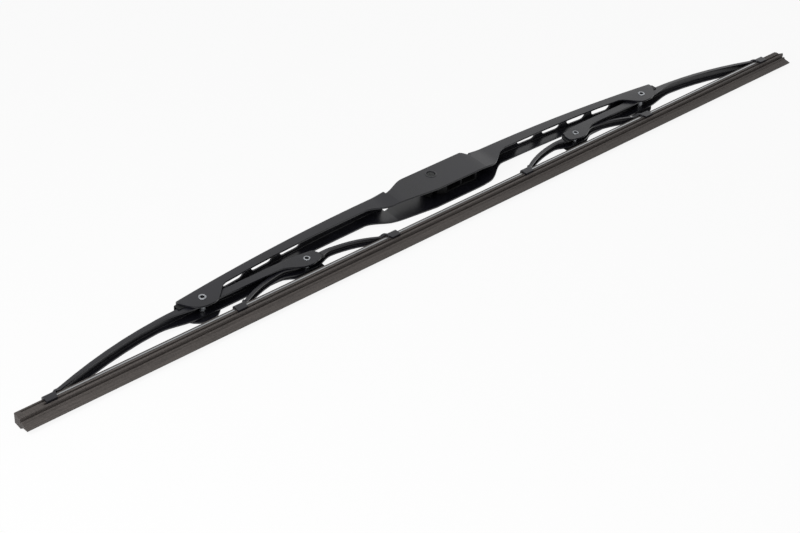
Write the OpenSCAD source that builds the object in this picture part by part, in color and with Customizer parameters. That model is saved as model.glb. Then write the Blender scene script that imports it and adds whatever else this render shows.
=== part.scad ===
// Conventional frame wiper blade: a pressed bridge carries two levers, each lever carries an outer
// claw and a yoke with two claws, and the six claws hold a rubber element with two spine strips.
// The blade lies on its side, as it comes to rest: on the front edge of the bridge box and on the
// claws. X runs along the blade and the origin is the middle of the arm pin. The sizes and modules
// below use the blade's own axes: X along it, Y from the lip edge to the bridge's back, Z across it.

/* [Rubber element] */
// Length of the rubber element
rubber_len = 530; // [515:1:560]
// Width of the rubber head
head_w = 6; // [5.6:0.1:6.2]
// Height of the rubber head, from its front edge to its back
head_h = 5; // [4.8:0.1:5.4]
// Thickness of the head's back flange, above the spine grooves
flange_t = 0.7; // [0.5:0.05:0.9]
// Height of the two spine grooves
groove_h = 1; // [0.9:0.05:1.1]
// Thickness of the core between the two spine grooves
core_w = 2.2; // [1.8:0.1:2.6]
// Thickness of the rib between the spine groove and the claw groove
rib_t = 1.1; // [0.9:0.05:1.3]
// Height of the claw grooves
claw_groove_h = 1; // [0.9:0.05:1.2]
// Thickness of the core between the claw grooves
claw_core_w = 3.6; // [3.2:0.1:3.8]
// Height of the neck that lets the lip tilt
neck_h = 0.7; // [0.5:0.05:0.9]
// Thickness of the neck
neck_w = 1.1; // [0.8:0.05:1.4]
// Width over the two shoulders below the neck
shoulder_w = 3.6; // [3:0.1:4.2]
// Height of the shoulders
shoulder_h = 0.9; // [0.7:0.05:1.1]
// Height of the wiping lip
lip_h = 4.2; // [3.6:0.1:5]
// Thickness of the lip where it leaves the shoulders
lip_root_w = 1.7; // [1.4:0.1:2]
// Thickness of the lip at its wiping edge
lip_edge_w = 0.6; // [0.5:0.05:0.8]

/* [Spine strips] */
// Length of each spine strip
spine_len = 492; // [480:1:498]
// Thickness of a spine strip
spine_t = 0.8; // [0.6:0.05:0.85]
// Width of a spine strip
spine_w = 1.85; // [1.6:0.05:1.85]
// Distance that a spine strip stands proud of the rubber head
spine_proud = 0.1; // [0:0.02:0.12]

/* [Claws] */
// Distance of the outer claws from the middle of the blade
outer_claw_x = 248; // [240:1:252]
// Distance of the yokes' outward claws from the middle of the blade
mid_claw_x = 144.2; // [138:0.2:147]
// Distance of the yokes' inward claws from the middle of the blade
inner_claw_x = 47.6; // [44:0.2:52]
// Length of a claw along the blade
claw_len = 5.4; // [4.6:0.2:7]
// Gap between the rubber head and a claw
claw_gap = 0.2; // [0.15:0.01:0.25]
// Height of a claw's turned-in hook
hook_t = 0.6; // [0.5:0.05:0.7]
// Length of a hook that reaches into the claw groove
hook_reach = 0.9; // [0.7:0.05:1]

/* [Yokes] */
// Sheet thickness of the levers and yokes
lever_sheet = 0.9; // [0.8:0.05:1]
// Height of the yoke pivots above the lip edge
yoke_pivot_y = 19.5; // [19:0.1:20.5]
// Outer width of a yoke at its pivot
yoke_w = 5.2; // [4.8:0.05:5.2]
// Outer width of a yoke along its arms
yoke_arm_w = 4.4; // [3.8:0.1:4.8]
// Depth of a yoke's channel along its arms
yoke_depth = 2.4; // [1.8:0.1:2.8]
// Height of a yoke's back above its pivot
yoke_crown = 2.3; // [2.1:0.1:2.4]
// Distance that a yoke's arms rise above its crown
yoke_hump = 0.8; // [0.4:0.1:1]
// Depth of a yoke below its pivot
yoke_drop = 2.6; // [2.4:0.1:3]

/* [Levers] */
// Distance of the lever pivots from the middle of the blade
lever_pivot_x = 155.6; // [152:0.2:158]
// Height of the lever pivots above the lip edge
lever_pivot_y = 24.1; // [23.6:0.1:24.4]
// Outer width of a lever from its yoke to its pivot
lever_w = 7.9; // [7.9:0.05:8.1]
// Outer width of a lever along its outer arm
lever_arm_w = 6.8; // [6.2:0.1:7.6]
// Depth of a lever's channel along its outer arm
lever_arm_depth = 2.8; // [2.4:0.1:3.4]
// Height of a lever's inner arm above the lip edge, at its back
lever_inner_y = 25.5; // [25.2:0.1:25.8]
// Depth of a lever's channel along its inner arm
lever_inner_depth = 5.1; // [4.6:0.1:5.6]
// Height of a lever's back above its pivot
lever_crown = 2.9; // [2.7:0.1:3.1]
// Height of a lever's outer arm above its pivot, where it starts to fall
lever_arm_rise = 2.1; // [1.7:0.1:2.4]
// Depth of a lever below its pivot
lever_drop = 3.8; // [3.5:0.1:4.2]
// Radius of the ear that carries the yoke pivot
yoke_ear_r = 5; // [4.6:0.1:5.2]
// Length of the slant at a lever's inner end
tip_slant = 2; // [1:0.1:3]

/* [Bridge] */
// Sheet thickness of the bridge
bridge_sheet = 1; // [0.9:0.05:1.1]
// Outer width of the bridge's arms
bridge_w = 10.8; // [10.7:0.05:11]
// Height of the bridge's back beside the box
bridge_back_y = 38.4; // [38:0.1:39]
// Radius of the bow of the bridge's back
bow_r = 1050; // [1000:10:1150]
// Depth of the bridge's channel beside the box
bridge_depth = 7; // [6.6:0.1:7.4]
// Depth of the bridge's channel before its ears
bridge_end_depth = 5.7; // [5.3:0.1:6.1]
// Length that the bridge runs past the lever pivots
bridge_overhang = 11.6; // [10:0.1:12]
// Radius of the ear round a lever pivot
bridge_ear_r = 6.2; // [5.8:0.1:6.4]
// Length of each slot in the bridge's back
slot_len = 14; // [12:0.5:16.5]
// Width of each slot in the bridge's back
slot_w = 6; // [5:0.1:7]
// Distance from slot to slot
slot_pitch = 18.9; // [18.4:0.1:19.4]
// Distance of the last slot's centre from the middle of the blade
last_slot_x = 131.3; // [129:0.1:132]
// Number of slots in the bridge's left arm
left_slots = 3; // [2:1:3]
// Number of slots in the bridge's right arm
right_slots = 4; // [3:1:4]

/* [Box for the wiper arm] */
// Outer width of the box
box_w = 13; // [12.6:0.1:13.4]
// Length of the box, where the bridge's back is open
box_len = 61; // [58:1:64]
// Distance that the box's sides rise above the bridge's back
box_rise = 2.1; // [1.6:0.1:2.6]
// Distance that the box's sides lie below the bridge's back at both ends of the box
box_dip = 2.6; // [2.2:0.1:3]
// Length of the ramp to the left end of the box's sides
left_ramp = 16; // [12:0.5:18]
// Length of the ramp to the right end of the box's sides
right_ramp = 4; // [3:0.5:8]
// Height of the box's front edge above the lip edge
box_front_y = 22.5; // [22:0.1:23]
// Distance that the box's front edge rises towards its left end
box_rake = 3.3; // [2.6:0.1:4]
// Diameter of the arm pin
pin_d = 4.8; // [4.6:0.1:5]
// Height of the arm pin above the lip edge
pin_y = 34.6; // [34.2:0.1:35]

/* [Hook clip] */
// Length of the clip from the pin to its free end
clip_reach = 30.2; // [28:0.2:30.4]
// Radius of the clip's nose round the pin
clip_nose_r = 4.6; // [4.2:0.1:4.9]
// Wall thickness of the clip
clip_wall = 1.3; // [1.1:0.1:1.6]
// Gap between the clip and the box's sides
clip_gap = 0.25; // [0.2:0.05:0.4]
// Width of the snap opening that lets the clip onto the pin
snap_w = 3.8; // [3.4:0.1:4.2]

/* [Rivets and liners] */
// Outer diameter of the lever rivets' shanks
lever_rivet_d = 3.2; // [3:0.1:3.4]
// Outer diameter of the yoke rivets' shanks
yoke_rivet_d = 2.8; // [2.6:0.1:2.9]
// Diameter of the hole through a tubular rivet
rivet_hole_d = 2.1; // [1.8:0.1:2.2]
// Width of a rivet head's rim beyond the shank
rivet_rim = 0.45; // [0.4:0.05:0.6]
// Thickness of a rivet head
rivet_head_t = 0.35; // [0.25:0.05:0.45]
// Thickness of the plastic liners at the pivots
liner_t = 0.4; // [0.35:0.01:0.4]
// Length of a lever liner past the end of the bridge
liner_proud = 2; // [1.5:0.1:2.5]

/* [Clearances] */
// Radial running clearance at the pivots
run_gap = 0.05; // [0.02:0.01:0.08]
// Gap between pieces that are pressed or laid together
seat_gap = 0.02; // [0.01:0.01:0.04]

/* [Hidden] */
left = -1;
right = 1;
eps = 0.01;
arc_steps = 3;
paint_black = "#2b2c2e";
plastic_black = "#1d1e1f";
rubber_grey = "#4a4644";
steel_bright = "#c9cbcc";
rivet_grey = "#8f9294";

// Heights of the rubber's steps above the lip edge
shoulder_y = lip_h + shoulder_h;
head_front_y = shoulder_y + neck_h;
head_back_y = head_front_y + head_h;
groove_top_y = head_back_y - flange_t;
groove_low_y = groove_top_y - groove_h;
claw_groove_top_y = groove_low_y - rib_t;
claw_groove_low_y = claw_groove_top_y - claw_groove_h;

// Claws
claw_back_y = head_back_y + claw_gap + lever_sheet;
claw_arm_back_y = claw_back_y + 0.4;
hook_low_y = claw_groove_low_y + (claw_groove_h - hook_t) / 2;
claw_w = head_w + 2 * (claw_gap + lever_sheet);
claw_taper = 2.4;
claw_drop_run = 1.3;

// Pivots and channels
yoke_pivot_x = (mid_claw_x + inner_claw_x) / 2;
bend_r = 0.3;
lever_crest_x = lever_pivot_x + 18;
lever_arm_back_y = lever_pivot_y + lever_arm_rise;
lever_tip_x = yoke_pivot_x - 7.5;
bridge_end_x = lever_pivot_x + bridge_overhang;
bridge_bend_r = 0.35;
box_half = box_len / 2;
box_back_y = bridge_back_y + box_rise;
box_end_y = bridge_back_y - box_dip;
box_inner_w = box_w - 2 * bridge_sheet;

// Tilt at which the box's front edge and the claws' hooks touch the same surface
rest_tilt = atan((box_w - claw_w) / 2 / (box_front_y - hook_low_y));

function clamp01(t) = min(1, max(0, t));
function ease(t) = let (u = clamp01(t)) u * u * (3 - 2 * u);
function mix(a, b, t) = a + (b - a) * t;
function step_between(x, x0, x1) = ease((x - x0) / (x1 - x0));

// Points of one channel section in the YZ plane: outside from skirt to skirt, then back inside
function corner(y, z, r, a0, a1) =
    [for (i = [0:arc_steps]) let (a = mix(a0, a1, i / arc_steps)) [y + r * sin(a), z + r * cos(a)]];
function channel_section(half, back, front, t, r) = concat(
    [[front, half]],
    corner(back - r - t, half - r - t, r + t, 0, 90),
    corner(back - r - t, -half + r + t, r + t, 90, 180),
    [[front, -half], [front, -half + t]],
    corner(back - r - t, -half + r + t, r, 180, 90),
    corner(back - r - t, half - r - t, r, 90, 0),
    [[front, half - t]]
);

// A channel lofted through sections [x, half width, back, front]
module channel(stations, t, r) {
    n = 4 * (arc_steps + 1) + 4;
    last = len(stations) - 1;
    points = [
        for (s = stations) for (p = channel_section(s[1], s[2], s[3], t, r)) [s[0], p[0], p[1]]
    ];
    sides = [
        for (i = [0:last - 1], j = [0:n - 1]) let (k = (j + 1) % n)
            each [[i * n + j, i * n + k, (i + 1) * n + k], [i * n + j, (i + 1) * n + k, (i + 1) * n + j]]
    ];
    // The end caps are strips between the outer and the inner line of the section
    caps = [
        for (j = [0:n / 2 - 2]) let (a = j, b = j + 1, c = n - 2 - j, d = n - 1 - j)
            each [
                [d, c, b], [d, b, a],
                [last * n + b, last * n + c, last * n + d], [last * n + a, last * n + b, last * n + d]
            ]
    ];
    polyhedron(points, concat(sides, caps), convexity = 6);
}

// Levers, yokes and their small parts are built for the right half and mirrored for the left
module lay() {
    rotate([rest_tilt, 0, 0]) translate([0, -pin_y, 0]) children();
}
module on_side(side) {
    if (side == left) mirror([1, 0, 0]) children();
    else children();
}
module cross_bore(x, y, d) {
    translate([x, y, -box_w]) cylinder(d = d, h = 2 * box_w, $fn = 48);
}

// Just before a claw the channel widens above the rubber head, then its skirts drop beside the head
// and its back dips onto it: d is the distance to the claw
function claw_widening(d) = 1 - step_between(d, claw_drop_run, claw_drop_run + claw_taper);
function claw_back(back, d) = back - (claw_arm_back_y - claw_back_y) * (1 - clamp01(d / claw_drop_run));
function claw_front(front, d) =
    mix(hook_low_y, max(front, head_back_y + claw_gap), step_between(d, 0, claw_drop_run));

// A claw's turned-in hooks, at both sides of the head
module hooks(x) {
    for (s = [-1, 1])
        translate([x - claw_len / 2, hook_low_y, s * (claw_w - lever_sheet - hook_reach) / 2])
            translate([0, 0, -(lever_sheet + hook_reach) / 2])
                cube([claw_len, hook_t, lever_sheet + hook_reach]);
}

// Bridge: outlines as functions of x
function bridge_back(x) = bridge_back_y - pow(max(0, abs(x) - box_half), 2) / (2 * bow_r);
function bridge_half(x) = mix(box_w, bridge_w, step_between(abs(x), box_half - 4, box_half + 9)) / 2;
function bridge_arm_depth(x) =
    mix(bridge_depth, bridge_end_depth, clamp01((abs(x) - box_half - 25) / (lever_pivot_x - box_half - 60)));
function bridge_arm_front(x) = bridge_back(x) - bridge_arm_depth(x);
function bridge_ear_front(x) = lever_pivot_y - bridge_ear_r
    + (bridge_back(bridge_end_x) - bridge_sheet - lever_pivot_y + bridge_ear_r - 2)
    * pow(clamp01((abs(x) - lever_pivot_x - 1) / (bridge_end_x - lever_pivot_x - 1)), 2.2);
function box_front(x) = box_front_y + box_rake * clamp01((-5 - x) / (box_half - 1.5));
function box_share(x) = x < 0 ? 1 - step_between(-x, box_half + 2.5, box_half + 17.5)
    : 1 - step_between(x, box_half + 3.5, box_half + 21.5);
function bridge_front(x) = abs(x) < lever_pivot_x - 20
    ? mix(bridge_arm_front(x), box_front(x), box_share(x))
    : mix(bridge_arm_front(x), bridge_ear_front(x),
        step_between(abs(x), lever_pivot_x - 16, lever_pivot_x - 3));

// Where the back is open, the channel runs on above the box, to be cut down to the line of its sides
function bridge_top(x) = abs(x) < box_half - 1 ? box_back_y + bridge_sheet + bridge_bend_r + 0.3
    : bridge_back(x);
function box_top(x) = let (rise = step_between(x, -box_half - 1, left_ramp - box_half - 1))
    mix(box_end_y, box_back_y, rise * step_between(-x, 0.3 - box_half, right_ramp + 0.3 - box_half));
bridge_x = concat(
    [5, box_half - 5, box_half - 1.1, box_half - 0.9, box_half + 2.5],
    [for (i = [1:12]) box_half + 2.5 + i * 19 / 12],
    [for (i = [1:6]) mix(box_half + 21.5, lever_pivot_x - 16, i / 6)],
    [for (i = [1:6]) lever_pivot_x - 16 + i * 13 / 6],
    [for (i = [1:7]) mix(lever_pivot_x - 3, bridge_end_x, i / 7)]
);
bridge_stations = [
    for (x = concat([for (i = [len(bridge_x) - 1:-1:0]) -bridge_x[i]], bridge_x))
        [x, bridge_half(x), bridge_top(x), bridge_front(x)]
];

// A slot through the back of the bridge, with round ends
module back_slot(x, length, width) {
    y0 = bridge_back(x) - 4;
    for (s = [-1, 1])
        translate([x + s * (length - width) / 2, y0, 0])
            rotate([-90, 0, 0]) cylinder(d = width, h = 10, $fn = 32);
    translate([x - (length - width) / 2, y0, -width / 2]) cube([length - width, 10, width]);
}

module main_bridge() {
    color(paint_black)
        lay()
            difference() {
                channel(bridge_stations, bridge_sheet, bridge_bend_r);
                // Open back, with the sides of the box cut to their line
                translate([0, 0, -box_w])
                    linear_extrude(2 * box_w)
                        polygon(concat(
                            [for (i = [0:40]) let (x = -box_half + box_len * i / 40) [x, box_top(x)]],
                            [[box_half, box_back_y + 9], [-box_half, box_back_y + 9]]
                        ));
                for (side = [left, right], i = [1:side == left ? left_slots : right_slots])
                    on_side(side) back_slot(last_slot_x - (i - 1) * slot_pitch, slot_len, slot_w);
                for (side = [left, right])
                    cross_bore(side * lever_pivot_x, lever_pivot_y, lever_rivet_d + 2 * seat_gap);
                cross_bore(0, pin_y, pin_d + 2 * seat_gap);
            }
}

// Lever: outlines as functions of the distance from the middle of the blade
lever_arm_end_x = outer_claw_x - claw_len / 2;
function lever_arm_top(x) = let (u = clamp01((x - lever_crest_x) / (lever_arm_end_x - lever_crest_x)))
    mix(lever_arm_back_y, claw_arm_back_y, pow(u, 1.75));
function lever_top(x) = x >= lever_crest_x ? claw_back(lever_arm_top(x), lever_arm_end_x - x)
    : x >= lever_pivot_x
    ? mix(lever_pivot_y + lever_crown, lever_arm_back_y, step_between(x, lever_pivot_x + 2, lever_crest_x))
    : x >= yoke_pivot_x + 12
    ? mix(lever_inner_y, lever_pivot_y + lever_crown, step_between(x, lever_pivot_x - 18, lever_pivot_x - 2))
    : mix(yoke_pivot_y + 4.1, lever_inner_y, pow(step_between(x, lever_tip_x, yoke_pivot_x + 12), 0.6));
function lever_claw_front(x) = claw_front(lever_arm_top(x) - lever_arm_depth, lever_arm_end_x - x);
function lever_front(x) = x >= lever_pivot_x
    ? mix(lever_pivot_y - lever_drop, lever_claw_front(x),
        step_between(x, lever_pivot_x + 3, lever_crest_x + 8))
    : x >= yoke_pivot_x + 20
    ? mix(lever_inner_y - lever_inner_depth, lever_pivot_y - lever_drop,
        step_between(x, lever_pivot_x - 20, lever_pivot_x - 3))
    : x >= yoke_pivot_x
    ? mix(yoke_pivot_y - yoke_ear_r, lever_inner_y - lever_inner_depth,
        step_between(x, yoke_pivot_x + 2, yoke_pivot_x + 16))
    : mix(yoke_pivot_y - 2.6, yoke_pivot_y - yoke_ear_r, pow(clamp01((x - lever_tip_x) / 7), 0.5));
function lever_half(x) = x >= lever_pivot_x
    ? mix(mix(lever_w, lever_arm_w, step_between(x, lever_pivot_x + 8, lever_crest_x + 16)), claw_w,
        claw_widening(lever_arm_end_x - x)) / 2
    : lever_w / 2;
lever_x = concat(
    [for (i = [0:7]) lever_tip_x + i],
    [for (i = [0:6]) mix(yoke_pivot_x + 2, yoke_pivot_x + 20, i / 6)],
    [for (i = [0:8]) mix(lever_pivot_x - 20, lever_pivot_x + 1, i / 8)],
    [for (i = [0:7]) mix(lever_pivot_x + 3, lever_crest_x + 8, i / 7)],
    [for (i = [1:6]) mix(lever_crest_x + 8, lever_arm_end_x - claw_drop_run - claw_taper, i / 6)],
    [for (i = [1:3]) lever_arm_end_x - claw_drop_run - claw_taper * (1 - i / 3)],
    [lever_arm_end_x - claw_drop_run / 2, lever_arm_end_x, lever_arm_end_x + claw_len]
);
lever_stations = [for (x = lever_x) [x, lever_half(x), lever_top(x), lever_front(x)]];

// The slant that takes off the back corner of a lever's inner end
module slant_cut(x0) {
    translate([0, 0, -box_w])
        linear_extrude(2 * box_w)
            polygon([
                [x0 - 3, yoke_pivot_y + 0.8], [x0, yoke_pivot_y + 0.8],
                [x0 + tip_slant * 0.4, yoke_pivot_y + 2.4], [x0 + tip_slant, yoke_pivot_y + 4.6],
                [x0 + tip_slant, yoke_pivot_y + 9], [x0 - 3, yoke_pivot_y + 9]
            ]);
}

module lever(side) {
    color(paint_black)
        lay()
            on_side(side) {
                difference() {
                    channel(lever_stations, lever_sheet, bend_r);
                    cross_bore(lever_pivot_x, lever_pivot_y, lever_rivet_d + 2 * run_gap);
                    cross_bore(yoke_pivot_x, yoke_pivot_y, yoke_rivet_d + 2 * seat_gap);
                    slant_cut(lever_tip_x);
                }
                hooks(outer_claw_x);
            }
}

// Yoke: outlines as functions of the distance from the yoke pivot
yoke_reach = (mid_claw_x - inner_claw_x) / 2;
yoke_arm = yoke_reach - claw_len / 2;
function yoke_arm_top(d) = mix(yoke_pivot_y + yoke_crown + yoke_hump * step_between(abs(d), 6, 16),
    claw_arm_back_y, pow(clamp01(abs(d) / yoke_arm), 2.8));
function yoke_arm_front(d) = yoke_arm_top(d)
    - mix(yoke_crown + yoke_drop, yoke_depth, step_between(abs(d), 4, 16));
function yoke_top(d) = claw_back(yoke_arm_top(d), yoke_arm - abs(d));
function yoke_front(d) = claw_front(yoke_arm_front(d), yoke_arm - abs(d));
function yoke_half(d) = mix(mix(yoke_w, yoke_arm_w, step_between(abs(d), 6, 20)), claw_w,
    claw_widening(yoke_arm - abs(d))) / 2;
yoke_d = concat(
    [0, 4, 6, 8, 10, 12, 14, 16],
    [for (i = [1:7]) mix(16, yoke_arm - claw_drop_run - claw_taper, i / 7)],
    [for (i = [1:3]) yoke_arm - claw_drop_run - claw_taper * (1 - i / 3)],
    [yoke_arm - claw_drop_run / 2, yoke_arm, yoke_arm + claw_len]
);
yoke_offsets = concat([for (i = [len(yoke_d) - 1:-1:1]) -yoke_d[i]], yoke_d);
yoke_stations = [for (d = yoke_offsets) [yoke_pivot_x + d, yoke_half(d), yoke_top(d), yoke_front(d)]];

module yoke(side) {
    color(paint_black)
        lay()
            on_side(side) {
                difference() {
                    channel(yoke_stations, lever_sheet, bend_r);
                    cross_bore(yoke_pivot_x, yoke_pivot_y, yoke_rivet_d + 2 * run_gap);
                }
                hooks(inner_claw_x);
                hooks(mid_claw_x);
            }
}

// Liner of a lever pivot: a saddle in the bridge's channel that runs past the bridge's end
lever_liner_x = [for (i = [0:6]) mix(lever_pivot_x - 6, bridge_end_x + liner_proud, i / 6)];
function lever_liner_front(x) = mix(lever_pivot_y - 4, bridge_back(bridge_end_x) - bridge_sheet - 4.4,
    step_between(x, lever_pivot_x + 2, bridge_end_x));
lever_liner_stations = [
    for (x = lever_liner_x)
        [
            x, bridge_w / 2 - bridge_sheet - seat_gap,
            bridge_back(x) - bridge_sheet - 0.1, lever_liner_front(x)
        ]
];

module lever_liner(side) {
    color(plastic_black)
        lay()
            on_side(side)
                difference() {
                    channel(lever_liner_stations, liner_t - run_gap, bridge_bend_r);
                    cross_bore(lever_pivot_x, lever_pivot_y, lever_rivet_d + 2 * seat_gap);
                }
}

// Liner of a yoke pivot: a saddle in the lever's channel
yoke_liner_x = [for (i = [0:6]) mix(lever_tip_x - 1.5, yoke_pivot_x + 7, i / 6)];
yoke_liner_stations = [
    for (x = yoke_liner_x)
        [
            x, lever_w / 2 - lever_sheet - seat_gap,
            min(lever_top(max(x, lever_tip_x)), yoke_pivot_y + 4.1) - lever_sheet - 0.1, yoke_pivot_y - 3.4
        ]
];

module yoke_liner(side) {
    color(plastic_black)
        lay()
            on_side(side)
                difference() {
                    channel(yoke_liner_stations, liner_t - run_gap, 0.3);
                    cross_bore(yoke_pivot_x, yoke_pivot_y, yoke_rivet_d + 2 * seat_gap);
                    slant_cut(lever_tip_x - 1.2);
                }
}

// Tubular rivet across a channel, with a rolled head at each side
module rivet(x, y, shank_d, width) {
    head_r = shank_d / 2 + rivet_rim;
    half = width / 2 + seat_gap;
    color(rivet_grey)
        lay()
            translate([x, y, 0])
                rotate_extrude($fn = 64)
                    polygon([
                        [rivet_hole_d / 2, -half - rivet_head_t * 0.7], [shank_d / 2, -half - rivet_head_t],
                        [head_r - 0.1, -half - rivet_head_t * 0.7], [head_r, -half], [shank_d / 2, -half],
                        [shank_d / 2, half], [head_r, half], [head_r - 0.1, half + rivet_head_t * 0.7],
                        [shank_d / 2, half + rivet_head_t], [rivet_hole_d / 2, half + rivet_head_t * 0.7]
                    ]);
}

module lever_rivet(side) {
    rivet(side * lever_pivot_x, lever_pivot_y, lever_rivet_d, bridge_w);
}
module yoke_rivet(side) {
    rivet(side * yoke_pivot_x, yoke_pivot_y, yoke_rivet_d, lever_w);
}

// Pin across the box, its ends flush in the sides and staked by a dimple
module arm_pin() {
    edge = box_w / 2 - 0.3;
    color(paint_black)
        lay()
            translate([0, pin_y, 0])
                rotate_extrude($fn = 64)
                    polygon([
                        [0, -edge + 0.5], [0.5, -edge + 0.4], [pin_d / 2 - 1.1, -edge - 0.15],
                        [pin_d / 2 - 0.6, -edge - 0.2], [pin_d / 2, -edge + 0.1], [pin_d / 2, edge - 0.1],
                        [pin_d / 2 - 0.6, edge + 0.2], [pin_d / 2 - 1.1, edge + 0.15], [0.5, edge - 0.4],
                        [0, edge - 0.5]
                    ]);
}

// Moulded clip that snaps on the pin and takes the arm's hook
clip_w = box_inner_w - 2 * clip_gap;
clip_back_y = pin_y + clip_nose_r - 0.6;
clip_front_y = pin_y - clip_nose_r - 1.6;
module clip_side() {
    polygon([
        [0, clip_back_y], [clip_reach - 6, clip_back_y], [clip_reach - 1, clip_back_y - 1.5],
        [clip_reach, clip_back_y - 4], [clip_reach, clip_front_y + 1], [clip_reach - 1, clip_front_y],
        [6, clip_front_y], [snap_w / 2 + 0.2, pin_y - clip_nose_r + 0.4], [0, pin_y]
    ]);
}
module hook_clip() {
    color(plastic_black)
        lay()
            difference() {
                translate([0, 0, -clip_w / 2]) {
                    linear_extrude(clip_w) clip_side();
                    translate([0, pin_y, 0]) cylinder(r = clip_nose_r, h = clip_w, $fn = 64);
                }
                cross_bore(0, pin_y, pin_d + 2 * run_gap);
                // Snap opening towards the rubber
                translate([-snap_w / 2, pin_y - 2 * clip_nose_r, -clip_w])
                    cube([snap_w, 2 * clip_nose_r, 2 * clip_w]);
                // Trough behind the nose that the hook's end lies in
                translate([clip_nose_r + clip_wall, pin_y - 1.2, -clip_w / 2 + clip_wall])
                    cube([clip_reach, 2 * clip_nose_r, clip_w - 2 * clip_wall]);
                // Pockets under the trough, beside a middle rib
                for (x = [clip_nose_r + 2 * clip_wall, clip_nose_r + 3 * clip_wall + 9.5])
                    translate([x, clip_front_y - eps, -clip_w / 2 + clip_wall])
                        cube([9.5, pin_y - 1.2 - clip_wall - clip_front_y, clip_w - 2 * clip_wall]);
            }
}

// Rubber element: one extruded profile, symmetric about the blade's middle plane
rubber_half_profile = [
    [lip_edge_w / 2, 0],
    [lip_root_w / 2, lip_h - 0.3],
    [shoulder_w / 2 - 0.3, lip_h],
    [shoulder_w / 2, lip_h + 0.35],
    [shoulder_w / 2 - 0.15, shoulder_y],
    [neck_w / 2 + 0.2, shoulder_y],
    [neck_w / 2, shoulder_y + 0.2],
    [neck_w / 2, head_front_y - 0.2],
    [neck_w / 2 + 0.2, head_front_y],
    [head_w / 2 - 0.25, head_front_y],
    [head_w / 2, head_front_y + 0.25],
    [head_w / 2, claw_groove_low_y],
    [claw_core_w / 2, claw_groove_low_y],
    [claw_core_w / 2, claw_groove_top_y],
    [head_w / 2, claw_groove_top_y],
    [head_w / 2, groove_low_y],
    [core_w / 2, groove_low_y],
    [core_w / 2, groove_top_y],
    [head_w / 2, groove_top_y],
    [head_w / 2, head_back_y - 0.25],
    [head_w / 2 - 0.25, head_back_y]
];
module rubber_element() {
    last = len(rubber_half_profile) - 1;
    far_half = [for (i = [last:-1:0]) let (p = rubber_half_profile[i]) [-p[0], p[1]]];
    color(rubber_grey)
        lay()
            translate([-rubber_len / 2, 0, 0])
                rotate([90, 0, 90])
                    linear_extrude(rubber_len)
                        polygon([for (p = concat(rubber_half_profile, far_half)) [p[1], p[0]]]);
}

// Spine strip, laid in a side groove of the rubber head
module spine(s) {
    z_out = head_w / 2 + spine_proud;
    color(steel_bright)
        lay()
            translate([
                -spine_len / 2, groove_low_y + (groove_h - spine_t) / 2, s > 0 ? z_out - spine_w : -z_out
            ])
                cube([spine_len, spine_t, spine_w]);
}

main_bridge();
lever(left);  // lever_left
lever(right);  // lever_right
yoke(left);  // yoke_left
yoke(right);  // yoke_right
lever_liner(left);  // lever_liner_left
lever_liner(right);  // lever_liner_right
yoke_liner(left);  // yoke_liner_left
yoke_liner(right);  // yoke_liner_right
lever_rivet(left);  // lever_rivet_left
lever_rivet(right);  // lever_rivet_right
yoke_rivet(left);  // yoke_rivet_left
yoke_rivet(right);  // yoke_rivet_right
arm_pin();
hook_clip();
rubber_element();
spine(1);  // spine_near
spine(-1);  // spine_far
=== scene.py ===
"""Wiper blade: the looks of a frame wiper blade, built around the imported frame.

Sizes are in millimetres in the blade's own axes: X along the blade, Y from the lip edge to the bridge's
back, Z across. in_row() turns them into the row frame, in metres.
"""

import math

import bpy
from mathutils import Matrix, Vector


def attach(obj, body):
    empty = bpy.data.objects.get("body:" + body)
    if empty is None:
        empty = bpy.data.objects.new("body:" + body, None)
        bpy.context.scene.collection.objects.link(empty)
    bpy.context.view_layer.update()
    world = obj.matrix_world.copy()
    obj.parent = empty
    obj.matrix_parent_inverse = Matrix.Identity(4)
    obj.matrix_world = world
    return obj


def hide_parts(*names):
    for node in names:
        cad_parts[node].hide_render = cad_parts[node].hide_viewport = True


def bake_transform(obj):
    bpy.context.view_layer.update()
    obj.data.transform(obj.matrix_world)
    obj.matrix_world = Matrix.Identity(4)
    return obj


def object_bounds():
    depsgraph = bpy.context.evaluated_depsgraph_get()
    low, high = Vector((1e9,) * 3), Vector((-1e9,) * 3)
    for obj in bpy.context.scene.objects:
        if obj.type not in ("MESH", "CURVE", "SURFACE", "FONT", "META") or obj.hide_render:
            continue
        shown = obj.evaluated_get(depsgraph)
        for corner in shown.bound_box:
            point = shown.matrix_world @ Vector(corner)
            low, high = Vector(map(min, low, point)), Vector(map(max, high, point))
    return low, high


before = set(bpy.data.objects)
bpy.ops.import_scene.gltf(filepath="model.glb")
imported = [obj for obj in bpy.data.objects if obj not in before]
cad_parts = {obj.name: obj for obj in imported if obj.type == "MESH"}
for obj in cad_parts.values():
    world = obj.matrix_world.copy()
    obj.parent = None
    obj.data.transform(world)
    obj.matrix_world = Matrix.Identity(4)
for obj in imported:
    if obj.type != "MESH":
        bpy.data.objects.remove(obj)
cad_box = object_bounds()

# Sizes, as in the part's source

RUBBER_LEN = 530
SPINE_LEN = 492
OUTER_CLAW_X = 248
CLAW_LEN = 5.4
PIN_Y = 34.6
PIN_D = 4.8
BOX_W = 13
BOX_FRONT_Y = 22.5
CLAW_W = 8.2
HOOK_LOW_Y = 7.2

HEAD_W = 6
CORE_W = 2.2
CLAW_CORE_W = 3.6
NECK_W = 1.1
SHOULDER_W = 3.6
LIP_ROOT_W = 1.7
LIP_EDGE_W = 0.6
LIP_Y = 4.2
SHOULDER_Y = 5.1
HEAD_FRONT_Y = 5.8
CLAW_GROOVE = (7.0, 8.0)
SPINE_GROOVE = (9.1, 10.1)
HEAD_BACK_Y = 10.8
SPINE_T = 0.8
SPINE_W = 1.85
SPINE_PROUD = 0.1

# Sizes of the details that only this scene has

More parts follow.
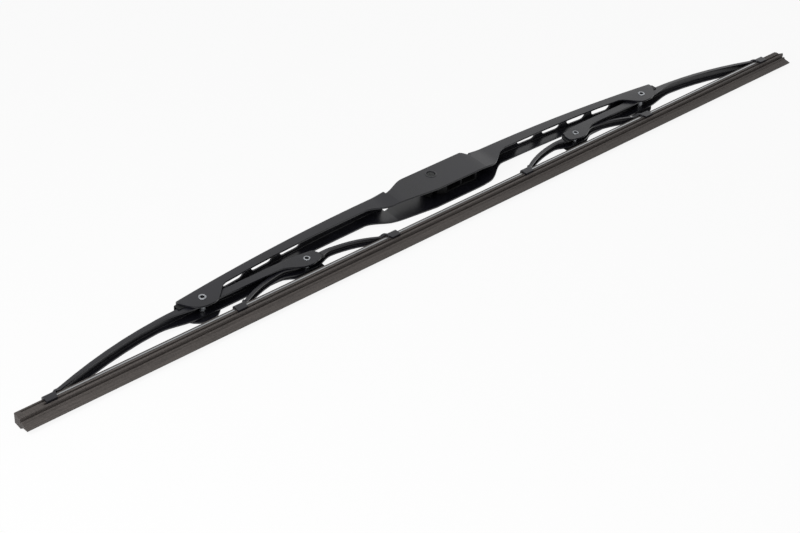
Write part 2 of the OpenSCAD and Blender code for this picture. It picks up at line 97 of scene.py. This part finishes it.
# Radii of edges and corners
PRESSED_EDGE = 0.15
MOULDED_EDGE = 0.25
PIN_EDGE = 0.1
SMALL_EDGE = 0.06
RUBBER_CORNER = 0.14
STRIP_CORNER = 0.15

# Where the lip widens into the shoulders, and the slopes of the shoulders' front and back
FLARE = 0.3
SHOULDER_FRONT = 0.35
SHOULDER_BACK = 0.15

# The right half of the rubber and of each strip reaches a little into the left half, slightly thinner
HALVES_LAP = 0.8
LAP_SHRINK = 0.02
LAP_NECK = 0.01

# How far apart the sections of the rubber and the strips are, along the blade and past the claws
SPAN_STEP = 2.5
END_STEP = 0.4

# Past the outer claws the head's grooves close between these distances, and stay as faint lines
CLOSING = (0.6, 1.4)
LINE_DEPTH = 0.03

# On the left, a narrow seam goes on to a solid block at the end
SEAM_DEPTH = 0.9
SEAM_SQUEEZE = 0.22
SEAM_FADE = 0.6
END_BLOCK = 2.6

# On the right, the claw groove goes on and closes between these distances from the cut
CUT_SKIN = (1.6, 0.8)

# The knife's uneven cut at the right end: its front reaches out, its back falls short, its rib has a tab
CUT_FADE = 4
CUT_REACH = 0.6
CUT_BACK = 1.4
CUT_TAB = 1.2

# The head's back corners round off just before the cut
BACK_ROUND_LEN = 1.2
BACK_ROUND_Y = 0.55
BACK_ROUND_Z = 0.4

# The ring of metal staked round each end of the arm pin, and how deep it is sunk outside and inside
STAKE_R = 3.3
STAKE_H = 0.22
STAKE_SLOPE = 0.3
STAKE_FOOT = 0.1
STAKE_BORE = 0.25

SMOOTH_BELOW = math.radians(30)
BEVEL_ABOVE = math.radians(35)

# The blade's tilt as it rests on the front edge of its box and on its claws
REST_TILT = math.atan((BOX_W - CLAW_W) / 2 / (BOX_FRONT_Y - HOOK_LOW_Y))
MM = 0.001
IN_ROW = (
    Matrix.Rotation(REST_TILT, 4, "X")
    @ Matrix.Scale(MM, 4)
    @ Matrix.Translation((0, -PIN_Y, 0))
)


def in_row(x, y, z=0.0):
    """A point of the blade, in the row frame."""
    return IN_ROW @ Vector((x, y, z))


# Materials


def colour(hex_code):
    """An sRGB hex colour as linear values."""
    parts = [int(hex_code[i : i + 2], 16) / 255 for i in (1, 3, 5)]
    linear = [p / 12.92 if p <= 0.04045 else ((p + 0.055) / 1.055) ** 2.4 for p in parts]
    return (*linear, 1.0)


def add(tree, kind, values=None, links=None, **settings):
    """Adds a node: settings are its properties, values its input values, links its inputs' sources."""
    node = tree.nodes.new(kind)
    for key, value in settings.items():
        setattr(node, key, value)
    for key, value in (values or {}).items():
        node.inputs[key].default_value = value
    for key, (source, output) in (links or {}).items():
        tree.links.new(source.outputs[output], node.inputs[key])
    return node


def new_material(name):
    """An empty material, with its shader and the place on the object that patterns use."""
    material = bpy.data.materials.new(name)
    material.use_nodes = True
    tree = material.node_tree
    tree.nodes.clear()
    shader = add(tree, "ShaderNodeBsdfPrincipled")
    add(tree, "ShaderNodeOutputMaterial", links={"Surface": (shader, "BSDF")})
    place = add(tree, "ShaderNodeTexCoord")
    return material, tree, shader, place


def per_metre(size_mm):
    """The noise scale at which one lump is about size_mm wide."""
    return 1 / (size_mm * MM)


def stoved_black_paint():
    """Pressed steel, dipped and stoved black: a satin sheen over faint orange peel, 0.9 mm wide."""
    material, tree, shader, place = new_material("stoved_black_paint")
    peel = add(
        tree,
        "ShaderNodeTexNoise",
        {"Scale": per_metre(0.9), "Detail": 3.0, "Roughness": 0.55},
        {"Vector": (place, "Object")},
    )
    patches = add(
        tree,
        "ShaderNodeTexNoise",
        {"Scale": per_metre(14), "Detail": 4.0},
        {"Vector": (place, "Object")},
    )
    tone = add(tree, "ShaderNodeValToRGB", links={"Fac": (patches, "Fac")})
    tone.color_ramp.elements[0].position = 0.3
    tone.color_ramp.elements[0].color = colour("#101015")
    tone.color_ramp.elements[1].position = 0.7
    tone.color_ramp.elements[1].color = colour("#17171d")
    sheen = add(
        tree,
        "ShaderNodeMapRange",
        {"From Min": 0.3, "From Max": 0.7, "To Min": 0.26, "To Max": 0.36},
        {"Value": (patches, "Fac")},
    )
    bump = add(
        tree,
        "ShaderNodeBump",
        {"Strength": 0.12, "Distance": 0.03 * MM},
        {"Height": (peel, "Fac")},
    )
    tree.links.new(tone.outputs["Color"], shader.inputs["Base Color"])
    tree.links.new(sheen.outputs["Result"], shader.inputs["Roughness"])
    tree.links.new(bump.outputs["Normal"], shader.inputs["Normal"])
    # Stoving paint is about 1.5, brought down to the weaker sheen of the photographed bridge
    shader.inputs["IOR"].default_value = 1.43
    return material


def extruded_rubber():
    """Black rubber with a graphite dusting: matt brownish grey, with draw lines along its length."""
    material, tree, shader, place = new_material("extruded_rubber")
    along = add(
        tree,
        "ShaderNodeMapping",
        {"Scale": (0.02, 1.0, 1.0)},
        {"Vector": (place, "Object")},
    )
    # Real draw lines are about 0.1 mm wide, and are drawn coarser so that they show
    lines = add(
        tree,
        "ShaderNodeTexNoise",
        {"Scale": per_metre(0.5), "Detail": 4.0},
        {"Vector": (along, "Vector")},
    )
    dust = add(
        tree,
        "ShaderNodeTexNoise",
        {"Scale": per_metre(0.8), "Detail": 6.0, "Roughness": 0.7},
        {"Vector": (place, "Object")},
    )
    both = add(
        tree,
        "ShaderNodeMix",
        {"Factor": 0.5},
        {"A": (lines, "Fac"), "B": (dust, "Fac")},
    )
    tone = add(tree, "ShaderNodeValToRGB", links={"Fac": (both, "Result")})
    tone.color_ramp.elements[0].position = 0.35
    tone.color_ramp.elements[0].color = colour("#353230")
    tone.color_ramp.elements[1].position = 0.68
    tone.color_ramp.elements[1].color = colour("#58524f")
    bump = add(
        tree,
        "ShaderNodeBump",
        {"Strength": 0.4, "Distance": 0.05 * MM},
        {"Height": (both, "Result")},
    )
    tree.links.new(tone.outputs["Color"], shader.inputs["Base Color"])
    tree.links.new(bump.outputs["Normal"], shader.inputs["Normal"])
    shader.inputs["Roughness"].default_value = 0.62
    # Rubber is about 1.52, brought down because the dusting dulls it
    shader.inputs["IOR"].default_value = 1.38
    return material


def rolled_steel():
    """Cold-rolled stainless strip: a grey sheen, with the rolling's fine lines along it."""
    material, tree, shader, place = new_material("rolled_steel")
    along = add(
        tree,
        "ShaderNodeMapping",
        {"Scale": (0.01, 1.0, 1.0)},
        {"Vector": (place, "Object")},
    )
    # Real rolling lines are about 0.02 mm wide, and are drawn coarser so that they show
    lines = add(
        tree,
        "ShaderNodeTexNoise",
        {"Scale": per_metre(0.15), "Detail": 3.0},
        {"Vector": (along, "Vector")},
    )
    gloss = add(
        tree,
        "ShaderNodeMapRange",
        {"To Min": 0.2, "To Max": 0.4},
        {"Value": (lines, "Fac")},
    )
    bump = add(
        tree,
        "ShaderNodeBump",
        {"Strength": 0.15, "Distance": 0.01 * MM},
        {"Height": (lines, "Fac")},
    )
    tree.links.new(gloss.outputs["Result"], shader.inputs["Roughness"])
    tree.links.new(bump.outputs["Normal"], shader.inputs["Normal"])
    shader.inputs["Base Color"].default_value = colour("#989a9b")
    shader.inputs["Metallic"].default_value = 1.0
    return material


def plated_steel():
    """Zinc-plated steel, rolled over when riveted: a dull grey metal with cloudy patches."""
    material, tree, shader, place = new_material("plated_steel")
    clouds = add(
        tree,
        "ShaderNodeTexNoise",
        {"Scale": per_metre(1.2), "Detail": 5.0},
        {"Vector": (place, "Object")},
    )
    tone = add(tree, "ShaderNodeValToRGB", links={"Fac": (clouds, "Fac")})
    tone.color_ramp.elements[0].position = 0.35
    tone.color_ramp.elements[0].color = colour("#74767a")
    tone.color_ramp.elements[1].position = 0.65
    tone.color_ramp.elements[1].color = colour("#a5a8ab")
    gloss = add(
        tree,
        "ShaderNodeMapRange",
        {"To Min": 0.26, "To Max": 0.46},
        {"Value": (clouds, "Fac")},
    )
    tree.links.new(tone.outputs["Color"], shader.inputs["Base Color"])
    tree.links.new(gloss.outputs["Result"], shader.inputs["Roughness"])
    shader.inputs["Metallic"].default_value = 1.0
    return material


def phosphated_steel():
    """Turned steel with a phosphate coat: a matt charcoal black, slightly mottled."""
    material, tree, shader, place = new_material("phosphated_steel")
    # Real phosphate crystals are about 0.02 mm, and their mottle is drawn coarser so that it shows
    mottle = add(
        tree,
        "ShaderNodeTexNoise",
        {"Scale": per_metre(0.6), "Detail": 4.0},
        {"Vector": (place, "Object")},
    )
    tone = add(tree, "ShaderNodeValToRGB", links={"Fac": (mottle, "Fac")})
    tone.color_ramp.elements[0].position = 0.35
    tone.color_ramp.elements[0].color = colour("#0d0e0f")
    tone.color_ramp.elements[1].position = 0.65
    tone.color_ramp.elements[1].color = colour("#18191a")
    tree.links.new(tone.outputs["Color"], shader.inputs["Base Color"])
    shader.inputs["Roughness"].default_value = 0.6
    return material


def moulded_nylon_painted_shade():
    """Glass-filled nylon with a fine eroded grain, its black deepened and its sheen cut as painted shade
    for the clip in the box's shadow.
    """
    material, tree, shader, place = new_material("moulded_nylon_painted_shade")
    # Real eroded grain is about 0.05 mm, and is drawn coarser so that it shows
    grain = add(
        tree,
        "ShaderNodeTexNoise",
        {"Scale": per_metre(0.35), "Detail": 2.0},
        {"Vector": (place, "Object")},
    )
    bump = add(
        tree,
        "ShaderNodeBump",
        {"Strength": 0.3, "Distance": 0.03 * MM},
        {"Height": (grain, "Fac")},
    )
    # The ramp's blacks are deeper than the nylon's own: painted shade for the clip in shadow inside the box
    tone = add(tree, "ShaderNodeValToRGB", links={"Fac": (grain, "Fac")})
    tone.color_ramp.elements[0].position = 0.3
    tone.color_ramp.elements[0].color = colour("#0b0b0c")
    tone.color_ramp.elements[1].position = 0.7
    tone.color_ramp.elements[1].color = colour("#121314")
    tree.links.new(tone.outputs["Color"], shader.inputs["Base Color"])
    tree.links.new(bump.outputs["Normal"], shader.inputs["Normal"])
    shader.inputs["Roughness"].default_value = 0.55
    # Nylon is about 1.53, brought down as painted shade, for the clip in shadow inside the box
    shader.inputs["IOR"].default_value = 1.33
    return material


PAINT = stoved_black_paint()
RUBBER = extruded_rubber()
SPRING_STEEL = rolled_steel()
PLATED = plated_steel()
NYLON_PAINTED_SHADE = moulded_nylon_painted_shade()
PHOSPHATED = phosphated_steel()

# The frame's own nodes


def smooth_shading_group():
    """Geometry nodes that shade smooth, except at edges sharper than SMOOTH_BELOW."""
    group = bpy.data.node_groups.new("smooth_by_angle", "GeometryNodeTree")
    group.interface.new_socket("Geometry", in_out="INPUT", socket_type="NodeSocketGeometry")
    group.interface.new_socket("Geometry", in_out="OUTPUT", socket_type="NodeSocketGeometry")
    start = add(group, "NodeGroupInput")
    faces = add(
        group,
        "GeometryNodeSetShadeSmooth",
        {"Shade Smooth": True},
        {"Geometry": (start, "Geometry")},
        domain="FACE",
    )
    angle = add(group, "GeometryNodeInputMeshEdgeAngle")
    soft = add(
        group,
        "FunctionNodeCompare",
        {"B": SMOOTH_BELOW},
        {"A": (angle, "Unsigned Angle")},
        operation="LESS_THAN",
    )
    edges = add(
        group,
        "GeometryNodeSetShadeSmooth",
        {},
        {"Geometry": (faces, "Geometry"), "Shade Smooth": (soft, "Result")},
        domain="EDGE",
    )
    add(group, "NodeGroupOutput", links={"Geometry": (edges, "Geometry")})
    return group


SMOOTH = smooth_shading_group()


def smooth_by_angle(piece):
    """Shades a piece smooth, except at its sharp edges."""
    shade = piece.modifiers.new("smooth_by_angle", "NODES")
    shade.node_group = SMOOTH


def finish_node(name, material, edge_mm):
    """Rounds a CAD node's edges, shades it smooth with its flats kept flat, and gives it its material."""
    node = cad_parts[name]
    weld = node.modifiers.new("weld", "WELD")
    weld.merge_threshold = 0.002 * MM
    bevel = node.modifiers.new("edge_radius", "BEVEL")
    bevel.width = edge_mm * MM
    bevel.segments = 2
    bevel.limit_method = "ANGLE"
    bevel.angle_limit = BEVEL_ABOVE
    bevel.use_clamp_overlap = True
    smooth_by_angle(node)
    flats = node.modifiers.new("flat_faces", "WEIGHTED_NORMAL")
    flats.keep_sharp = True
    node.data.materials.clear()
    node.data.materials.append(material)


for name in ("main_bridge", "lever_left", "lever_right", "yoke_left", "yoke_right"):
    finish_node(name, PAINT, PRESSED_EDGE)
# The liners and the clip take the nylon whose black is deepened as painted shade
for name in ("lever_liner_left", "lever_liner_right", "yoke_liner_left", "yoke_liner_right"):
    finish_node(name, NYLON_PAINTED_SHADE, SMALL_EDGE)
finish_node("hook_clip", NYLON_PAINTED_SHADE, MOULDED_EDGE)
for name in ("lever_rivet_left", "lever_rivet_right", "yoke_rivet_left", "yoke_rivet_right"):
    finish_node(name, PLATED, SMALL_EDGE)
finish_node("arm_pin", PHOSPHATED, PIN_EDGE)

# Rubber element and spine strips


def mesh_piece(name, points, faces, material):
    """A mesh piece from points of the blade, in millimetres, with its material and its shading."""
    mesh = bpy.data.meshes.new(name)
    mesh.from_pydata([in_row(*p) for p in points], [], faces)
    mesh.materials.append(material)
    mesh.shade_smooth()
    piece = bpy.data.objects.new(name, mesh)
    bpy.context.scene.collection.objects.link(piece)
    smooth_by_angle(piece)
    return piece


def rounded(corners, radius, steps=3):
    """A closed outline with each corner cut to a small radius."""
    outline = []
    count = len(corners)
    for i, corner in enumerate(corners):
        here = Vector(corner)
        before = Vector(corners[i - 1]) - here
        after = Vector(corners[(i + 1) % count]) - here
        cut = min(radius, before.length * 0.45, after.length * 0.45)
        start = here + before.normalized() * cut
        end = here + after.normalized() * cut
        for k in range(steps + 1):
            t = k / steps
            outline.append(tuple((1 - t) ** 2 * start + 2 * t * (1 - t) * here + t**2 * end))
    return outline


def swept(outline_at, stations):
    """Points and faces of an outline (dx, y, z) carried along X, closed at both ends."""
    rings = [[(x + dx, y, z) for dx, y, z in outline_at(x)] for x in stations]
    n = len(rings[0])
    points = [p for ring in rings for p in ring]
    faces = [
        (i * n + j, (i + 1) * n + j, (i + 1) * n + (j + 1) % n, i * n + (j + 1) % n)
        for i in range(len(stations) - 1)
        for j in range(n)
    ]
    last = (len(stations) - 1) * n
    faces.append(tuple(range(n)))
    faces.append(tuple(last + j for j in reversed(range(n))))
    return points, faces


def stations_between(x0, x1, step):
    """Places along the blade from x0 to x1, at most step apart."""
    count = max(1, math.ceil(abs(x1 - x0) / step))
    return [x0 + (x1 - x0) * i / count for i in range(count + 1)]


def ramp(value, start, end):
    """A smooth step, from 0 where value is at start to 1 where it is at end."""
    t = min(1.0, max(0.0, (value - start) / (end - start)))
    return t * t * (3 - 2 * t)


def groove_walls(x):
    """Half widths of the head in its spine and claw grooves at x, and how far the seam's sides move in."""
    closing = ramp(abs(x) - OUTER_CLAW_X - CLAW_LEN / 2, *CLOSING)
    to_end = RUBBER_LEN / 2 - abs(x)
    full = HEAD_W / 2 - LINE_DEPTH
    if x < 0:
        seam = full - SEAM_DEPTH * ramp(to_end, END_BLOCK, END_BLOCK + SEAM_FADE)
        claw_wall = CLAW_CORE_W / 2 + (full - CLAW_CORE_W / 2) * closing
        return CORE_W / 2 + (seam - CORE_W / 2) * closing, claw_wall, SEAM_SQUEEZE * closing
    claw_wall = CLAW_CORE_W / 2 + (full - CLAW_CORE_W / 2) * ramp(to_end, *CUT_SKIN)
    return CORE_W / 2 + (full - CORE_W / 2) * closing, claw_wall, 0.0


def cut_shift(x, y):
    """How far the knife's cut at the right end strays along X at height y, fading in over its last part."""
    share = max(0.0, 1 - (RUBBER_LEN / 2 - x) / CUT_FADE)
    rib_back = CLAW_GROOVE[0]
    tab = CUT_TAB * ramp(y, HEAD_FRONT_Y - 0.1, rib_back - 0.1) * ramp(y, rib_back + 0.5, rib_back + 0.1)
    return share * (CUT_REACH - CUT_BACK * ramp(y, rib_back, rib_back + 0.9) + tab)


def rubber_outline(x):
    """The rubber's profile at x as (dx, y, z), counter-clockwise seen from the right end."""
    spine_wall, claw_wall, squeeze = groove_walls(x)
    spine_front = SPINE_GROOVE[0] + squeeze
    spine_back = SPINE_GROOVE[1] - squeeze
    tip = ramp(x, RUBBER_LEN / 2 - BACK_ROUND_LEN, RUBBER_LEN / 2) ** 2
    half = [
        (0, LIP_EDGE_W / 2),
        (LIP_Y - FLARE, LIP_ROOT_W / 2),
        (LIP_Y, SHOULDER_W / 2 - FLARE),
        (LIP_Y + SHOULDER_FRONT, SHOULDER_W / 2),
        (SHOULDER_Y, SHOULDER_W / 2 - SHOULDER_BACK),
        (SHOULDER_Y, NECK_W / 2),
        (HEAD_FRONT_Y, NECK_W / 2),
        (HEAD_FRONT_Y, HEAD_W / 2),
        (CLAW_GROOVE[0], HEAD_W / 2),
        (CLAW_GROOVE[0], claw_wall),
        (CLAW_GROOVE[1], claw_wall),
        (CLAW_GROOVE[1], HEAD_W / 2),
        (spine_front, HEAD_W / 2),
        (spine_front, spine_wall),
        (spine_back, spine_wall),
        (spine_back, HEAD_W / 2),
        (HEAD_BACK_Y - BACK_ROUND_Y * tip, HEAD_W / 2 - BACK_ROUND_Z * tip),
    ]
    other = [(y, -z) for y, z in reversed(half)]
    return [(cut_shift(x, y), y, z) for y, z in rounded(half + other, RUBBER_CORNER)]


def spine_outline(side):
    """A spine strip's rounded section as (dx, y, z), in its groove at that side of the head."""
    y0 = (SPINE_GROOVE[0] + SPINE_GROOVE[1] - SPINE_T) / 2
    z_out = side * (HEAD_W / 2 + SPINE_PROUD)
    z_in = z_out - side * SPINE_W
    corners = [(y0, z_in), (y0, z_out), (y0 + SPINE_T, z_out), (y0 + SPINE_T, z_in)]
    return [(0, y, z) for y, z in rounded(corners if side > 0 else corners[::-1], STRIP_CORNER)]


def lapped(outline_at, middle_y):
    """The same outline, but slightly thinner past the middle of the blade, to tuck into the left half."""

    def outline(x):
        share = 1 - LAP_SHRINK if x < 0 else 1
        return [(dx, middle_y + (y - middle_y) * share, z * share) for dx, y, z in outline_at(x)]

    return outline


def spine_section(side, across):
    """The spine strip's section as a function of x, for swept()."""
    section = spine_outline(across)
    middle_y = (SPINE_GROOVE[0] + SPINE_GROOVE[1]) / 2
    return lapped(lambda x: section, middle_y) if side > 0 else lambda x: section


def half_stations(side, length):
    """Places along one half of a piece, from the middle of the blade to its end, closest past the claw."""
    end = length / 2
    near_end = OUTER_CLAW_X + CLAW_LEN / 2
    places = stations_between(0, min(near_end, end), SPAN_STEP)
    if end > near_end:
        places += stations_between(near_end, end, END_STEP)[1:]
    if side > 0:
        places = [-HALVES_LAP, -LAP_NECK] + places
    return sorted(side * x for x in places)


for side, word in ((-1, "left"), (1, "right")):
    outline_at = lapped(rubber_outline, HEAD_FRONT_Y) if side > 0 else rubber_outline
    points, faces = swept(outline_at, half_stations(side, RUBBER_LEN))
    rubber = mesh_piece(f"rubber_{word}", points, faces, RUBBER)
    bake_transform(rubber)
    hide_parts("rubber_element")
    for across, place in ((1, "near"), (-1, "far")):
        points, faces = swept(spine_section(side, across), half_stations(side, SPINE_LEN))
        strip = mesh_piece(f"spine_{place}_{word}", points, faces, SPRING_STEEL)
        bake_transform(strip)
        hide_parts(f"spine_{place}")

# Staking round the arm pin


def turned(profile, steps=48):
    """Points and faces of a closed profile (radius, z) turned round the arm pin's axis."""
    n = len(profile)
    points = []
    for i in range(steps):
        a = 2 * math.pi * i / steps
        points += [(r * math.cos(a), PIN_Y + r * math.sin(a), z) for r, z in profile]
    faces = [
        (i * n + j, i * n + (j + 1) % n, (i + 1) % steps * n + (j + 1) % n, (i + 1) % steps * n + j)
        for i in range(steps)
        for j in range(n)
    ]
    return points, faces


for across, word in ((1, "near"), (-1, "far")):
    wall = across * BOX_W / 2
    # From the ring's foot, sunk in the box's wall, over its crest and down into the pin's bore
    ring = [
        (STAKE_R, wall - across * STAKE_FOOT),
        (STAKE_R - 0.05, wall + across * STAKE_FOOT),
        (STAKE_R - STAKE_SLOPE, wall + across * STAKE_H),
        (PIN_D / 2 + STAKE_SLOPE, wall + across * STAKE_H),
        (PIN_D / 2, wall + across * 0.05),
        (PIN_D / 2 - 0.1, wall - across * STAKE_BORE),
    ]
    points, faces = turned(ring)
    if across > 0:
        faces = [face[::-1] for face in faces]
    stake = mesh_piece(f"pin_stake_{word}", points, faces, PAINT)
    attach(stake, "bridge")

# Camera, light and floor

# Where the photograph was taken from, in metres and degrees, and its lens in millimetres
CAMERA_AT = (-0.49784, -0.56449, 0.41441)
CAMERA_AZIMUTH = -40.0717
CAMERA_ELEVATION = 31.7341
CAMERA_ROLL = -2.2794
CAMERA_LENS = 72.432
SENSOR_W = 36

# How strongly the surroundings light the object, and how far the floor that is seen is lifted to white
ROOM_GLOW = 0.3
FLOOR_GLOW = 0.9
FLOOR_HALF = 6


def photo_camera():
    """The camera at the photograph's viewing angle and distance."""
    data = bpy.data.cameras.new("photo_camera")
    data.lens = CAMERA_LENS
    data.sensor_width = SENSOR_W
    data.clip_start = 0.01
    camera = bpy.data.objects.new("photo_camera", data)
    turn = Matrix.Rotation(math.radians(CAMERA_AZIMUTH), 4, "Z")
    tip = Matrix.Rotation(math.radians(90 - CAMERA_ELEVATION), 4, "X")
    roll = Matrix.Rotation(math.radians(CAMERA_ROLL), 4, "Z")
    camera.matrix_world = Matrix.Translation(CAMERA_AT) @ turn @ tip @ roll
    bpy.context.scene.collection.objects.link(camera)
    bpy.context.scene.camera = camera


def seen_ray(tree):
    """A node that is 1 for what the camera sees, directly or in a glossy or clear surface."""
    ray = add(tree, "ShaderNodeLightPath")
    glossy = add(
        tree,
        "ShaderNodeMath",
        links={0: (ray, "Is Camera Ray"), 1: (ray, "Is Glossy Ray")},
        operation="MAXIMUM",
    )
    return add(
        tree,
        "ShaderNodeMath",
        links={0: (glossy, "Value"), 1: (ray, "Is Transmission Ray")},
        operation="MAXIMUM",
    )


def pale_floor():
    """A matt white floor that is seen as nearly white and keeps a faint shadow."""
    z = cad_box[0].z
    mesh = bpy.data.meshes.new("floor")
    corners = [(x * FLOOR_HALF, y * FLOOR_HALF, z) for x, y in ((-1, -1), (1, -1), (1, 1), (-1, 1))]
    mesh.from_pydata(corners, [], [(0, 1, 2, 3)])
    floor = bpy.data.objects.new("floor", mesh)
    bpy.context.scene.collection.objects.link(floor)
    material, tree, shader, _ = new_material("white_floor")
    shader.inputs["Base Color"].default_value = colour("#f4f4f4")
    shader.inputs["Roughness"].default_value = 0.9
    glow = add(tree, "ShaderNodeEmission", {"Strength": 1.0})
    share = add(
        tree,
        "ShaderNodeMath",
        {1: FLOOR_GLOW},
        {0: (seen_ray(tree), "Value")},
        operation="MULTIPLY",
    )
    mix = add(
        tree,
        "ShaderNodeMixShader",
        links={"Fac": (share, "Value"), 1: (shader, "BSDF"), 2: (glow, "Emission")},
    )
    output = next(node for node in tree.nodes if node.type == "OUTPUT_MATERIAL")
    tree.links.new(mix.outputs["Shader"], output.inputs["Surface"])
    mesh.materials.append(material)


def soft_box(name, at, toward, size, watts):
    """A square area lamp: its place and size in metres, and the point that it faces."""
    data = bpy.data.lights.new(name, "AREA")
    data.shape = "SQUARE"
    data.size = size
    data.energy = watts
    lamp = bpy.data.objects.new(name, data)
    direction = Vector(toward) - Vector(at)
    lamp.matrix_world = Matrix.Translation(at) @ direction.to_track_quat("-Z", "Y").to_matrix().to_4x4()
    bpy.context.scene.collection.objects.link(lamp)


def studio():
    """White surroundings and two soft lamps."""
    world = bpy.data.worlds.new("white_studio")
    world.use_nodes = True
    tree = world.node_tree
    tree.nodes.clear()
    white = add(tree, "ShaderNodeBackground", {"Color": (1, 1, 1, 1), "Strength": 1.0})
    glow = add(tree, "ShaderNodeBackground", {"Color": (1, 1, 1, 1), "Strength": ROOM_GLOW})
    mix = add(
        tree,
        "ShaderNodeMixShader",
        links={"Fac": (seen_ray(tree), "Value"), 1: (glow, "Background"), 2: (white, "Background")},
    )
    add(tree, "ShaderNodeOutputWorld", links={"Surface": (mix, "Shader")})
    bpy.context.scene.world = world
    soft_box("key_lamp", at=(-0.65, -0.3, 0.62), toward=(-0.15, 0, 0), size=0.6, watts=6.2)
    soft_box("back_lamp", at=(1.4, 0.6, 0.9), toward=(0.2, 0, 0), size=0.8, watts=0.8)


photo_camera()
pale_floor()
studio()
bpy.context.scene.view_settings.view_transform = "Standard"
